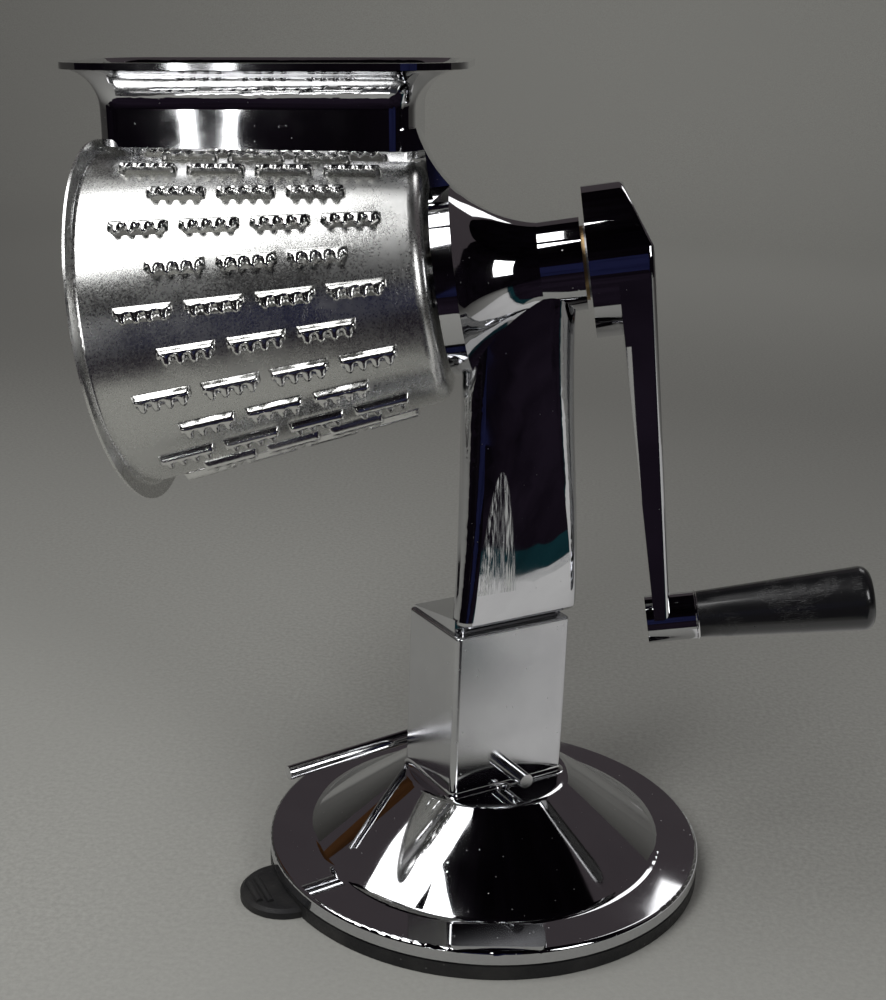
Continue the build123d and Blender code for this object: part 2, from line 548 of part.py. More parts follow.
def grip_washer():
    low, high = GRIP_SEAT, GRIP_SEAT + GRIP_WASHER_T
    ring = cylinder(GRIP_WASHER_R, low, high) - cylinder(SPINDLE_R + FIT, low - 1, high + 1)
    return shaft_frame * Pos(-THROW, 0, 0) * ring


def grip():
    end = GRIP_START + GRIP_L
    body = turned(
        [(0, GRIP_START), (GRIP_SMALL_R, GRIP_START), (GRIP_BIG_R, end), (0, end)],
        [0, 0, GRIP_END_R, 0])
    body -= cylinder(SPINDLE_R + FIT, GRIP_START - 1, end + 1)
    body -= cylinder(GRIP_SINK_R, GRIP_SEAT, end + 1)
    return shaft_frame * Pos(-THROW, 0, 0) * body


# ---------------------------------------------------------------- shredding cone
def cone_radius(along):
    return CONE_SMALL_R + (CONE_SMALL_END - along) * tan(CONE_SLOPE)


def cone_shell():
    back, front, skin = CONE_BIG_END, CONE_SMALL_END, SHEET / cos(CONE_SLOPE)
    return turned([
        (CONE_BIG_R - skin, back), (CONE_RIM_R, back), (CONE_RIM_R, back + SHEET),
        (cone_radius(back + SHEET), back + SHEET), (CONE_SMALL_R, front), (CONE_HOLE_R, front),
        (CONE_HOLE_R, front - SHEET), (cone_radius(front - SHEET) - skin, front - SHEET),
    ], [0, 0, 0, RIM_BEND_R, CONE_NOSE_R, 0, 0, CONE_NOSE_R - SHEET])


def louvre_places():
    """Frame of every louvre: x along the cone, y down the front, z out of the sheet."""
    for row in range(LOUVRE_ROWS):
        around = 2 * pi * (row + ROW_PHASE) / LOUVRE_ROWS
        long_row = row % 2 == 1
        first = LOUVRE_FIRST if long_row else LOUVRE_FIRST + LOUVRE_PITCH / 2
        for step in range(LONG_ROW if long_row else SHORT_ROW):
            along = first + step * LOUVRE_PITCH
            radius = cone_radius(along)
            yield Plane(
                origin=(radius * cos(around), radius * sin(around), along),
                x_dir=(sin(CONE_SLOPE) * cos(around), sin(CONE_SLOPE) * sin(around), -cos(CONE_SLOPE)),
                z_dir=(cos(CONE_SLOPE) * cos(around), cos(CONE_SLOPE) * sin(around), sin(CONE_SLOPE)),
            )


def louvre_hood():
    """Strip of sheet raised from a hinge line, with teeth on its free edge and closed ends."""
    rise = atan2(LOUVRE_H, LOUVRE_W)
    half, pitch, root = LOUVRE_L / 2, LOUVRE_L / LOUVRE_TEETH, SHEET / 2
    valley = hypot(LOUVRE_W, LOUVRE_H) - TOOTH_DEPTH
    edge = [(half, valley)]
    for tooth in range(LOUVRE_TEETH):
        start = half - tooth * pitch
        edge += [(start - pitch / 2, valley + TOOTH_DEPTH), (start - pitch, valley)]
    strip = make_face(Polyline((-half, -root), (half, -root), *edge, close=True))
    hood = Rot(degrees(rise), 0, 0) * extrude(strip, -LOUVRE_SKIN)
    far, top = valley * cos(rise), valley * sin(rise)
    side = Plane.YZ * make_face(Polyline(
        (0, -root), (far, -root), (far, top - LOUVRE_SKIN / 2), close=True))
    cheek = extrude(side, LOUVRE_CHEEK)
    return hood + Pos(half - LOUVRE_CHEEK, 0, 0) * cheek + Pos(-half, 0, 0) * cheek


def shredder_cone():
    slot = Pos(0, SLOT_START, -2 * SHEET) * Box(
        LOUVRE_L - 2 * LOUVRE_CHEEK, SLOT_W, 3 * SHEET, align=(Align.CENTER, Align.MIN, Align.MIN))
    hood = louvre_hood()
    places = list(louvre_places())
    shell = cone_shell() - [place * slot for place in places]
    shell = shell + [place * hood for place in places]
    shell -= rivet_pattern(cylinder(RIVET_R, CONE_SMALL_END - 2 * SHEET, CONE_SMALL_END + 1))
    return shaft_frame * shell


def rivet_pattern(solid):
    return [Rot(0, 0, 360 * i / RIVETS) * Pos(RIVET_CIRCLE_R, 0, 0) * solid for i in range(RIVETS)]


def cone_hub():
    hub = cylinder(HUB_PLATE_R, HUB_PLATE_LOW, CONE_SMALL_END - SHEET)
    hub += cylinder(HUB_R, HUB_BACK, HUB_PLATE_LOW)
    hub -= square(SQUARE + 2 * SQUARE_FIT, HUB_BACK - 1, CONE_SMALL_END)
    hub -= rivet_pattern(cylinder(RIVET_R, HUB_PLATE_LOW - 1, CONE_SMALL_END))
    return shaft_frame * hub


def cone_rivets():
    low, high = HUB_PLATE_LOW, CONE_SMALL_END
    rivet = cylinder(RIVET_R, low, high)
    rivet += cylinder(RIVET_HEAD_R, high, high + RIVET_HEAD_H)
    rivet += cylinder(RIVET_HEAD_R, low - RIVET_HEAD_H, low)
    return Compound([shaft_frame * solid for solid in rivet_pattern(rivet)])


PIECES = [
    suction_base, suction_cup, lever_rod, lever_cam, cam_pin, lever_clips, cup_stem, stem_plate,
    body_casting, front_bush, rear_bush, thrust_washer, drive_shaft, spring_plunger,
    crank_arm, crank_screw, grip_ferrule, grip_spindle, grip_washer, grip,
    shredder_cone, cone_hub, cone_rivets,
]

os.makedirs("parts", exist_ok=True)
for piece in PIECES:
    export_step(piece(), f"parts/{piece.__name__}.step")
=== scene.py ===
# %% [markdown]
# ## A hand-cranked shredder in polished chrome
# The object is a kitchen shredder: a chromed casting with a hopper on top, a toothed cone that
# turns under the hopper, a crank with a black grip, and a suction base with a lever. Its shapes
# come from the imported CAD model, which is loaded as a fixed frame. This lesson adds the studio,
# the finishes and the small marks that casting, plating and use leave behind.

# %% Load the frame
import bpy
import bmesh
from math import atan2, cos, degrees, pi, radians, sin
from mathutils import Matrix, Vector


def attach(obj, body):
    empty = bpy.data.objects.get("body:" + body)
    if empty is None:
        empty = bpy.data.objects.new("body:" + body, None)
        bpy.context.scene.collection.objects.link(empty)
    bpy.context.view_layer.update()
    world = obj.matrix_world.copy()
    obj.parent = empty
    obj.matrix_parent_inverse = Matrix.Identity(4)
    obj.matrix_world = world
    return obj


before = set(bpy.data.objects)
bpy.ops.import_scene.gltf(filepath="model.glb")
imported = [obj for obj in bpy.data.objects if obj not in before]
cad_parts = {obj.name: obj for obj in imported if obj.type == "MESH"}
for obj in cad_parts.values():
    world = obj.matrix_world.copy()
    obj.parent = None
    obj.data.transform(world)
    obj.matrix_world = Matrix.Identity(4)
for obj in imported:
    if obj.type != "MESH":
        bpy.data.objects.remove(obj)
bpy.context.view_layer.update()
scene = bpy.context.scene


# %% [markdown]
# ## The camera
# The photograph was taken from slightly above and a little to the right of the front, with the
# camera tipped two degrees. A long lens keeps the proportions calm. The numbers below were found
# by fitting the round edge of the base, the post and the crank to the photograph. The frame is
# 886 by 1000 pixels, and a focal length of 1500 pixels on a height of 1000 is 36 mm on 24 mm.

# %% Camera
turn, tip, roll = radians(4.0), radians(18.07), radians(-2.02)
behind = Vector((sin(turn) * cos(tip), -cos(turn) * cos(tip), sin(tip)))
level = Vector((cos(turn), sin(turn), 0.0))
lift = behind.cross(level)
right = level * cos(roll) - lift * sin(roll)
up = level * sin(roll) + lift * cos(roll)

lens_data = bpy.data.cameras.new("camera")
lens_data.sensor_fit = "VERTICAL"
lens_data.sensor_height = 24.0
lens_data.lens = 24.0 * 1500 / 1000
lens_data.clip_start = 0.01
camera = bpy.data.objects.new("camera", lens_data)
scene.collection.objects.link(camera)
camera.matrix_world = Matrix.Translation((0.01732, -0.56963, 0.34441)) @ Matrix(
    (right, up, behind)).transposed().to_4x4()
scene.camera = camera
print("camera looks down", round(degrees(tip), 1), "degrees")


# %% [markdown]
# ## Building blocks for materials
# Most finishes are made by a few effects that come back in several materials: a fine mottled
# grain, cloudy smudges, hair scratches that run one way, specks of dust, and the slow waves of a
# surface that was ground and polished by hand. Each effect is a node group with named inputs and
# outputs, so that each material can set its own scale and strength. The groups only put out
# masks and heights. The shader itself stays in the material.

# %% Helpers for node trees
def new_group(name, inputs, outputs):
    """A shader node group with named number sockets."""
    tree = bpy.data.node_groups.new(name, "ShaderNodeTree")
    for label, value in inputs.items():
        socket = tree.interface.new_socket(name=label, in_out="INPUT", socket_type="NodeSocketFloat")
        socket.default_value = value
    for label in outputs:
        tree.interface.new_socket(name=label, in_out="OUTPUT", socket_type="NodeSocketFloat")
    start = tree.nodes.new("NodeGroupInput")
    end = tree.nodes.new("NodeGroupOutput")
    return tree, start, end


def add(tree, kind, **settings):
    """A node with its settings; a setting with a socket's name sets that socket."""
    node = tree.nodes.new(kind)
    for key, value in settings.items():
        if hasattr(node, key):
            setattr(node, key, value)
        else:
            node.inputs[key.replace("_", " ")].default_value = value
    return node


def arithmetic(tree, operation, first, second=None, clamp=False):
    """One Math node; the inputs are sockets or numbers."""
    node = tree.nodes.new("ShaderNodeMath")
    node.operation = operation
    node.use_clamp = clamp
    for slot, value in zip(node.inputs, (first, second)):
        if value is None:
            continue
        if isinstance(value, (int, float)):
            slot.default_value = value
        else:
            tree.links.new(value, slot)
    return node.outputs[0]


def spread(tree, value, low, high, to_low=0.0, to_high=1.0):
    """A Map Range node from one span of numbers to another, held at the ends."""
    node = tree.nodes.new("ShaderNodeMapRange")
    node.clamp = True
    tree.links.new(value, node.inputs["Value"])
    for label, number in (("From Min", low), ("From Max", high), ("To Min", to_low), ("To Max", to_high)):
        if isinstance(number, (int, float)):
            node.inputs[label].default_value = number
        else:
            tree.links.new(number, node.inputs[label])
    return node.outputs["Result"]


def place(tree):
    """The point on the object, in metres, which stays put when a part moves."""
    return add(tree, "ShaderNodeTexCoord").outputs["Object"]


print("helpers ready")


# %% [markdown]
# ### Cloudy smudges
# Polished metal is never evenly clean. Fingers and cloths leave soft clouds that blur the
# reflection a little. Two octaves of noise, pushed apart by a Map Range, give that.

# %% Group: smudges
smudges, start, end = new_group("smudges", {"Scale": 20.0}, ["Mask"])
cloud = add(smudges, "ShaderNodeTexNoise", Detail=4.0, Roughness=0.6)
smudges.links.new(place(smudges), cloud.inputs["Vector"])
smudges.links.new(start.outputs["Scale"], cloud.inputs["Scale"])
smudges.links.new(spread(smudges, cloud.outputs["Fac"], 0.42, 0.7), end.inputs["Mask"])
print("group", smudges.name)


# %% [markdown]
# ### Fine grain
# Rolled sheet, moulded rubber and bare castings have a fine mottled skin. It is noise at a scale
# well under a millimetre, given both as a height for the bump and as a mask for colour.

# %% Group: grain
grain, start, end = new_group("grain", {"Scale": 900.0, "Contrast": 0.2}, ["Mask", "Height"])
speckle = add(grain, "ShaderNodeTexNoise", Detail=3.0, Roughness=0.7)
grain.links.new(place(grain), speckle.inputs["Vector"])
grain.links.new(start.outputs["Scale"], speckle.inputs["Scale"])
half_span = arithmetic(grain, "SUBTRACT", 0.5, start.outputs["Contrast"])
high_end = arithmetic(grain, "ADD", 0.5, start.outputs["Contrast"])
grain.links.new(spread(grain, speckle.outputs["Fac"], half_span, high_end), end.inputs["Mask"])
grain.links.new(speckle.outputs["Fac"], end.inputs["Height"])
print("group", grain.name)


# %% [markdown]
# ### Hair scratches
# A scratch is long and thin. Noise that is squeezed along one axis gives streaks, and a narrow
# window of its values gives single lines. The inputs X, Y and Z say how far each axis is
# squeezed, so that the lines can run along a grip or round a shaft, and Tilt turns them about Y,
# because the crank's axis rises ten degrees towards the handle.

# %% Group: scratches
scratches, start, end = new_group(
    "scratches", {"X": 40.0, "Y": 900.0, "Z": 900.0, "Tilt": 0.0, "Width": 0.012}, ["Mask"])
along = add(scratches, "ShaderNodeVectorRotate", rotation_type="Y_AXIS")
scratches.links.new(place(scratches), along.inputs["Vector"])
scratches.links.new(start.outputs["Tilt"], along.inputs["Angle"])
stretch = add(scratches, "ShaderNodeCombineXYZ")
for axis in "XYZ":
    scratches.links.new(start.outputs[axis], stretch.inputs[axis])
squeeze = add(scratches, "ShaderNodeVectorMath", operation="MULTIPLY")
scratches.links.new(along.outputs["Vector"], squeeze.inputs[0])
scratches.links.new(stretch.outputs["Vector"], squeeze.inputs[1])
streaks = add(scratches, "ShaderNodeTexNoise", Scale=1.0, Detail=2.0, Roughness=0.5)
scratches.links.new(squeeze.outputs["Vector"], streaks.inputs["Vector"])
offset = arithmetic(scratches, "SUBTRACT", streaks.outputs["Fac"], 0.5)
distance = arithmetic(scratches, "ABSOLUTE", offset)
line = spread(scratches, distance, 0.0, start.outputs["Width"], 1.0, 0.0)
patches = add(scratches, "ShaderNodeTexNoise", Scale=60.0, Detail=1.0)
scratches.links.new(place(scratches), patches.inputs["Vector"])
somewhere = spread(scratches, patches.outputs["Fac"], 0.5, 0.62)
scratches.links.new(arithmetic(scratches, "MULTIPLY", line, somewhere), end.inputs["Mask"])
print("group", scratches.name)


# %% [markdown]
# ### Dust
# Against a black reflection, every grain of dust shows as a bright dot. A Voronoi texture gives
# one distance field per cell. A random number per cell leaves most cells empty, and a small
# radius leaves a dot in the others.

# %% Group: dust
dust, start, end = new_group("dust", {"Scale": 350.0, "Share": 0.12, "Size": 0.1}, ["Mask"])
cells = add(dust, "ShaderNodeTexVoronoi")
dust.links.new(place(dust), cells.inputs["Vector"])
dust.links.new(start.outputs["Scale"], cells.inputs["Scale"])
dot = spread(dust, cells.outputs["Distance"], 0.0, start.outputs["Size"], 1.0, 0.0)
chance = add(dust, "ShaderNodeSeparateColor")
dust.links.new(cells.outputs["Color"], chance.inputs["Color"])
chosen = arithmetic(dust, "LESS_THAN", chance.outputs[0], start.outputs["Share"])
dust.links.new(arithmetic(dust, "MULTIPLY", dot, chosen), end.inputs["Mask"])
print("group", dust.name)


# %% [markdown]
# ### Hand-polished waves
# A casting is ground by hand before it is plated, so its faces are never quite flat. A very low,
# slow height bends the reflections into the flowing shapes that give chrome its look.

# %% Group: waves
waves, start, end = new_group("waves", {"Scale": 12.0}, ["Height"])
swell = add(waves, "ShaderNodeTexNoise", Detail=1.5, Roughness=0.4)
waves.links.new(place(waves), swell.inputs["Vector"])
waves.links.new(start.outputs["Scale"], swell.inputs["Scale"])
waves.links.new(swell.outputs["Fac"], end.inputs["Height"])
print("group", waves.name)


# %% [markdown]
# ### Painted highlight streaks
# Low on the front of the leg, a painted highlight stands in for a streaky reflection of a lamp.
# It is a pale arch of fine upright streaks, denser along the rim of the arch than inside it. The
# arch narrows towards its top by a square root, and noise that is squeezed sideways gives the streaks.

# %% Group: painted highlight streaks
painted_highlight_streaks, start, end = new_group(
    "painted_highlight_streaks", {"Middle": 0.0013, "Half Width": 0.0068, "Low": 0.127, "High": 0.176}, ["Mask"])
spot = add(painted_highlight_streaks, "ShaderNodeSeparateXYZ")
painted_highlight_streaks.links.new(place(painted_highlight_streaks), spot.inputs["Vector"])
climb = spread(painted_highlight_streaks, spot.outputs["Z"], start.outputs["Low"], start.outputs["High"])
narrowing = arithmetic(painted_highlight_streaks, "POWER", arithmetic(painted_highlight_streaks, "SUBTRACT", 1.0, climb), 0.5)
half_width = arithmetic(painted_highlight_streaks, "MULTIPLY", narrowing, start.outputs["Half Width"])
aside = arithmetic(painted_highlight_streaks, "SUBTRACT", spot.outputs["X"], start.outputs["Middle"])
share = arithmetic(painted_highlight_streaks, "DIVIDE", arithmetic(painted_highlight_streaks, "ABSOLUTE", aside), half_width)
within = spread(painted_highlight_streaks, share, 0.8, 1.15, 1.0, 0.0)
denser = spread(painted_highlight_streaks, share, 0.2, 0.85, 0.3, 1.0)
hair_scale = add(painted_highlight_streaks, "ShaderNodeVectorMath", operation="MULTIPLY")
hair_scale.inputs[1].default_value = (1700.0, 1700.0, 45.0)
painted_highlight_streaks.links.new(place(painted_highlight_streaks), hair_scale.inputs[0])
hair = add(painted_highlight_streaks, "ShaderNodeTexNoise", Scale=1.0, Detail=2.0)
painted_highlight_streaks.links.new(hair_scale.outputs["Vector"], hair.inputs["Vector"])
hairs = spread(painted_highlight_streaks, hair.outputs["Fac"], 0.42, 0.62)
front = arithmetic(painted_highlight_streaks, "LESS_THAN", spot.outputs["Y"], -0.008)
above = arithmetic(painted_highlight_streaks, "GREATER_THAN", spot.outputs["Z"], start.outputs["Low"])
below = arithmetic(painted_highlight_streaks, "LESS_THAN", spot.outputs["Z"], start.outputs["High"])
# the mask of the painted highlight: streaks inside the arch, on the front, between the two heights
highlight_streak = hairs
for part in (within, denser, front, above, below):
    highlight_streak = arithmetic(painted_highlight_streaks, "MULTIPLY", highlight_streak, part)
painted_highlight_streaks.links.new(highlight_streak, end.inputs["Mask"])
print("group", painted_highlight_streaks.name)


# %% [markdown]
# ## The finishes
# Each finish is one material. Its constants are set on the Principled shader's own sockets, and
# only what changes over the surface is linked.

# %% Helpers for materials
AXIS_TILT = radians(10.0)       # rise of the crank's axis towards the handle


def new_material(name, **sockets):
    """A material with one Principled shader; socket names use underscores for spaces."""
    material = bpy.data.materials.new(name)
    material.use_nodes = True
    tree = material.node_tree
    shader = tree.nodes["Principled BSDF"]
    for key, value in sockets.items():
        shader.inputs[key.replace("_", " ")].default_value = value
    return material, tree, shader


def effect(tree, group, **values):
    """One of the groups above, with this material's own values."""
    node = tree.nodes.new("ShaderNodeGroup")
    node.node_tree = group
    for key, value in values.items():
        node.inputs[key].default_value = value
    return node


def blend_colours(tree, mask, clean, marked):
    """A Mix node between two colours by a mask."""
    node = tree.nodes.new("ShaderNodeMix")
    node.data_type = "RGBA"
    tree.links.new(mask, node.inputs["Factor"])
    for label, colour in (("A", clean), ("B", marked)):
        socket = [s for s in node.inputs if s.name == label and s.type == "RGBA"][0]
        if isinstance(colour, tuple):
            socket.default_value = (*colour, 1.0)
        else:
            tree.links.new(colour, socket)
    return [s for s in node.outputs if s.type == "RGBA"][0]


def bump(tree, shader, height, strength, distance, before=None):
    """A Bump node that feeds the shader's normal, after an earlier one if there is one."""
    node = add(tree, "ShaderNodeBump", Strength=strength, Distance=distance)
    tree.links.new(height, node.inputs["Height"])
    if before is not None:
        tree.links.new(before, node.inputs["Normal"])
    tree.links.new(node.outputs["Normal"], shader.inputs["Normal"])
    return node.outputs["Normal"]


print("material helpers ready")


# %% [markdown]
# ### Chrome plate on a casting
# Chrome is a metal that reflects a little over half of the light, slightly cool. What makes it
# look real is what it isn't: not perfectly clean, not perfectly flat. Smudges raise the
# roughness, waves bend the mirror image, and dust dots catch light. The post of the base was
# brushed before plating, so from a little above the dome its faces have a satin shine.

# %% Materials: chrome on castings, bright and brushed
def chrome_plate(name, brushed_from, brushed_to, with_painted_highlight=False):
    """Chrome plate, brushed above two heights in metres, with or without the painted highlight streaks on the
    leg.
    """
    material, tree, shader = new_material(name, Metallic=1.0)
    clouds = effect(tree, smudges, Scale=26.0)
    dots = effect(tree, dust, Scale=420.0, Share=0.16, Size=0.13)
    brush = effect(tree, scratches, X=2200.0, Y=2200.0, Z=30.0, Width=0.08)
    plate = blend_colours(tree, clouds.outputs["Mask"], (0.66, 0.665, 0.68), (0.60, 0.6, 0.62))
    dust_and_painted_highlight = blend_colours(tree, dots.outputs["Mask"], plate, (0.8, 0.8, 0.8))
    point = add(tree, "ShaderNodeSeparateXYZ")
    tree.links.new(place(tree), point.inputs["Vector"])
    brushed = spread(tree, point.outputs["Z"], brushed_from, brushed_to)
    haze = spread(tree, clouds.outputs["Mask"], 0.0, 1.0, 0.025, 0.075)
    satin = arithmetic(tree, "MULTIPLY", brushed, 0.2)
    dull = arithmetic(tree, "MULTIPLY", dots.outputs["Mask"], 0.5)
    rough = arithmetic(tree, "ADD", arithmetic(tree, "ADD", haze, satin), dull, clamp=True)
    # painted highlight: a pale, less metallic and hazier arch on the leg stands in for a lamp's streaky
    # reflection
    if with_painted_highlight:
        highlight_mask = effect(tree, painted_highlight_streaks).outputs["Mask"]
        dust_and_painted_highlight = blend_colours(tree, highlight_mask, dust_and_painted_highlight, (0.74, 0.76, 0.73))
        rough = arithmetic(tree, "ADD", rough, arithmetic(tree, "MULTIPLY", highlight_mask, 0.5), clamp=True)
        metal_left = arithmetic(tree, "SUBTRACT", 1.0, arithmetic(tree, "MULTIPLY", highlight_mask, 0.85))
        tree.links.new(metal_left, shader.inputs["Metallic"])
    tree.links.new(dust_and_painted_highlight, shader.inputs["Base Color"])
    tree.links.new(rough, shader.inputs["Roughness"])
    slow = effect(tree, waves, Scale=14.0)
    first = bump(tree, shader, slow.outputs["Height"], 0.25, 0.0008)
    fine = arithmetic(tree, "MULTIPLY", brush.outputs["Mask"], brushed)
    second = bump(tree, shader, fine, 0.15, 0.00002, before=first)
    bump(tree, shader, dots.outputs["Mask"], 0.35, 0.00006, before=second)
    return material


chrome = chrome_plate("chrome_plate", 1.0, 2.0)
# the casting carries the painted highlight streaks low on the front of its leg
machine_chrome = chrome_plate("chrome_casting", 1.0, 2.0, with_painted_highlight=True)
base_chrome = chrome_plate("chrome_base", 0.045, 0.066)
print("materials", chrome.name, machine_chrome.name, base_chrome.name)


# %% [markdown]
# ### Bright rod
# The lever, the screws and the crank's spindle are drawn or turned rod with the same plate. Rod
# keeps fine lines from drawing, so it has scratches and a little more haze than the castings.

# %% Material: bright rod
bright_rod, tree, shader = new_material("bright_rod", Metallic=1.0)
lines = effect(tree, scratches, X=60.0, Y=60.0, Z=1400.0, Width=0.02)
clouds = effect(tree, smudges, Scale=60.0)
tree.links.new(
    blend_colours(tree, clouds.outputs["Mask"], (0.68, 0.68, 0.69), (0.58, 0.58, 0.6)),
    shader.inputs["Base Color"])
haze = spread(tree, clouds.outputs["Mask"], 0.0, 1.0, 0.09, 0.2)
tree.links.new(haze, shader.inputs["Roughness"])
bump(tree, shader, lines.outputs["Mask"], 0.2, 0.00004)
print("material", bright_rod.name)


# %% [markdown]
# ### Tinned sheet
# The cone is pressed from tinned sheet. Tin is softer and duller than chrome: it blurs what it
# reflects and has a frosted, mottled grain. The grain drives both colour and roughness, and long
# scratches run down the cone from use and washing.

# %% Materials: tinned sheet, plain and rubbed
def tinned_sheet(name, dark, bright, cloudy, low, high):
    """Tinned sheet: two greys of its frost, the grey of its clouds, least and most haze."""
    material, tree, shader = new_material(name, Metallic=1.0)
    frost = effect(tree, grain, Scale=1300.0, Contrast=0.2)
    clouds = effect(tree, smudges, Scale=34.0)
    lines = effect(tree, scratches, X=700.0, Y=90.0, Z=90.0, Tilt=AXIS_TILT, Width=0.012)
    sheet = blend_colours(tree, frost.outputs["Mask"], dark, bright)
    tree.links.new(blend_colours(tree, clouds.outputs["Mask"], sheet, cloudy), shader.inputs["Base Color"])
    frosted = spread(tree, frost.outputs["Mask"], 0.0, 1.0, low, high)
    worn = spread(tree, clouds.outputs["Mask"], 0.0, 1.0, -0.03, 0.06)
    tree.links.new(arithmetic(tree, "ADD", frosted, worn, clamp=True), shader.inputs["Roughness"])
    first = bump(tree, shader, frost.outputs["Height"], 0.35, 0.00007)
    bump(tree, shader, lines.outputs["Mask"], 0.3, 0.00004, before=first)
    return material


tinned = tinned_sheet("tinned_sheet", (0.66, 0.66, 0.65), (0.84, 0.84, 0.82), (0.76, 0.76, 0.745), 0.22, 0.34)
rubbed_tin = tinned_sheet(
    "rubbed_tin", (0.80, 0.80, 0.79), (0.92, 0.92, 0.90), (0.86, 0.86, 0.85), 0.13, 0.22)
print("materials", tinned.name, rubbed_tin.name)


# %% [markdown]
# ### Plain steel and bronze
# The shaft, the cam and the stem are turned steel, and the bushes are bronze. They show round
# the hub and inside the cone. Both get grain and smudges, with a duller finish.

# %% Materials: steel and bronze
def turned_metal(name, clean, dark, low, high):
    """Bare turned metal: mottled colour, uneven haze and a fine grain in the bump."""
    material, tree, shader = new_material(name, Metallic=1.0)
    clouds = effect(tree, smudges, Scale=120.0)
    skin = effect(tree, grain, Scale=1500.0, Contrast=0.2)
    tree.links.new(blend_colours(tree, clouds.outputs["Mask"], clean, dark), shader.inputs["Base Color"])
    tree.links.new(spread(tree, skin.outputs["Mask"], 0.0, 1.0, low, high), shader.inputs["Roughness"])
    bump(tree, shader, skin.outputs["Height"], 0.3, 0.00005)
    return material


steel = turned_metal("turned_steel", (0.46, 0.46, 0.47), (0.3, 0.3, 0.31), 0.25, 0.42)
bronze = turned_metal("bronze", (0.55, 0.38, 0.19), (0.36, 0.24, 0.13), 0.3, 0.45)
print("materials", steel.name, bronze.name)


# %% [markdown]
# ### Black rubber
# The suction cup is moulded rubber: nearly black, matt, with a fine skin and pale dust in it.

# %% Material: black rubber
rubber, tree, shader = new_material("black_rubber", Specular_IOR_Level=0.35)
skin = effect(tree, grain, Scale=700.0, Contrast=0.15)
dots = effect(tree, dust, Scale=300.0, Share=0.2, Size=0.16)
clouds = effect(tree, smudges, Scale=45.0)
base = blend_colours(tree, clouds.outputs["Mask"], (0.012, 0.012, 0.013), (0.03, 0.029, 0.028))
tree.links.new(
    blend_colours(tree, dots.outputs["Mask"], base, (0.16, 0.155, 0.15)), shader.inputs["Base Color"])
tree.links.new(spread(tree, skin.outputs["Mask"], 0.0, 1.0, 0.42, 0.62), shader.inputs["Roughness"])
bump(tree, shader, skin.outputs["Height"], 0.4, 0.00012)
print("material", rubber.name)


# %% [markdown]
# ### Lacquered grip
# The grip is turned wood under black lacquer. It shines, but a hand has rubbed fine lines along
# it, and the lacquer is dull where they are thick.

# %% Material: black lacquer
lacquer, tree, shader = new_material("black_lacquer", Coat_Weight=0.25, Coat_Roughness=0.08)
lines = effect(tree, scratches, X=45.0, Y=2600.0, Z=2600.0, Tilt=AXIS_TILT, Width=0.016)
dots = effect(tree, dust, Scale=500.0, Share=0.1, Size=0.14)
clouds = effect(tree, smudges, Scale=70.0)
ink = blend_colours(tree, lines.outputs["Mask"], (0.009, 0.009, 0.01), (0.04, 0.039, 0.038))
tree.links.new(
    blend_colours(tree, dots.outputs["Mask"], ink, (0.14, 0.14, 0.13)), shader.inputs["Base Color"])
haze = spread(tree, clouds.outputs["Mask"], 0.0, 1.0, 0.16, 0.3)
rough = arithmetic(tree, "ADD", haze, arithmetic(tree, "MULTIPLY", lines.outputs["Mask"], 0.25), clamp=True)
tree.links.new(rough, shader.inputs["Roughness"])
bump(tree, shader, lines.outputs["Mask"], 0.35, 0.00005)
print("material", lacquer.name)


# %% [markdown]
# ## Dressing the CAD nodes
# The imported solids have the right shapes, so they stay, and each gets its finish by filling its
# material slots. A small table of node names keeps that in one place.

# %% Assign the finishes
FINISHES = {
    chrome: ["crank_arm"],
    machine_chrome: ["body_casting"],
    base_chrome: ["suction_base"],
    bright_rod: ["lever_rod", "crank_screw", "grip_ferrule", "grip_spindle", "grip_washer"],
    tinned: ["shredder_cone", "cone_hub"],
    steel: ["lever_cam", "cam_pin", "lever_clips", "cup_stem", "stem_plate", "thrust_washer",
            "drive_shaft", "spring_plunger", "cone_rivets"],
    bronze: ["front_bush", "rear_bush"],
    rubber: ["suction_cup"],
    lacquer: ["grip"],
}
for material, names in FINISHES.items():
    for name in names:
        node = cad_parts[name]
        node.data.materials.clear()
        node.data.materials.append(material)
        print(name, "->", material.name)


# %% [markdown]
# ## The louvres of the cone
# Each louvre is made in one stroke of a press. The punch cuts the sheet along a toothed line and
# pushes it outwards: a steep step rises from the hinge line, bends over and ends in four fluted
# teeth, and the metal stretches into a small dome at both ends. The CAD cone has the slots, the
# cheeks and plain pointed teeth in the right places. These caps lie over them and add what the
# press leaves: the step, the soft bend, the flutes and the domed ends.

# %% Louvre caps
# the crank's axis and the cone on it, in metres
AXIS_ORIGIN = Vector((0.0, 0.0, 0.2505))
AXIS_UP = Vector((-sin(AXIS_TILT), 0.0, cos(AXIS_TILT)))
AXIS_FRONT = Vector((0.0, -1.0, 0.0))
AXIS_ALONG = Vector((cos(AXIS_TILT), 0.0, sin(AXIS_TILT)))
BIG_END, SMALL_END, BIG_R, SMALL_R = -0.150, -0.0274, 0.0640, 0.0450
SLOPE = atan2(BIG_R - SMALL_R, SMALL_END - BIG_END)
# the pattern: rows round the cone, turn of the first row, spacing in a row, first place in a row
ROWS, PHASE, PITCH, FIRST = 24, 0.1, 0.0248, -0.126
LONG_ROW, SHORT_ROW = 4, 3
# one louvre: half its length, its teeth, and where valleys and tips end below the hinge line
HALF, TEETH, VALLEY, TIP = 0.00975, 4, 0.0033, 0.0062
FLUTE = 0.0022         # depth of the flute between two teeth
CAP_METAL = 0.00035    # thickness of the cap
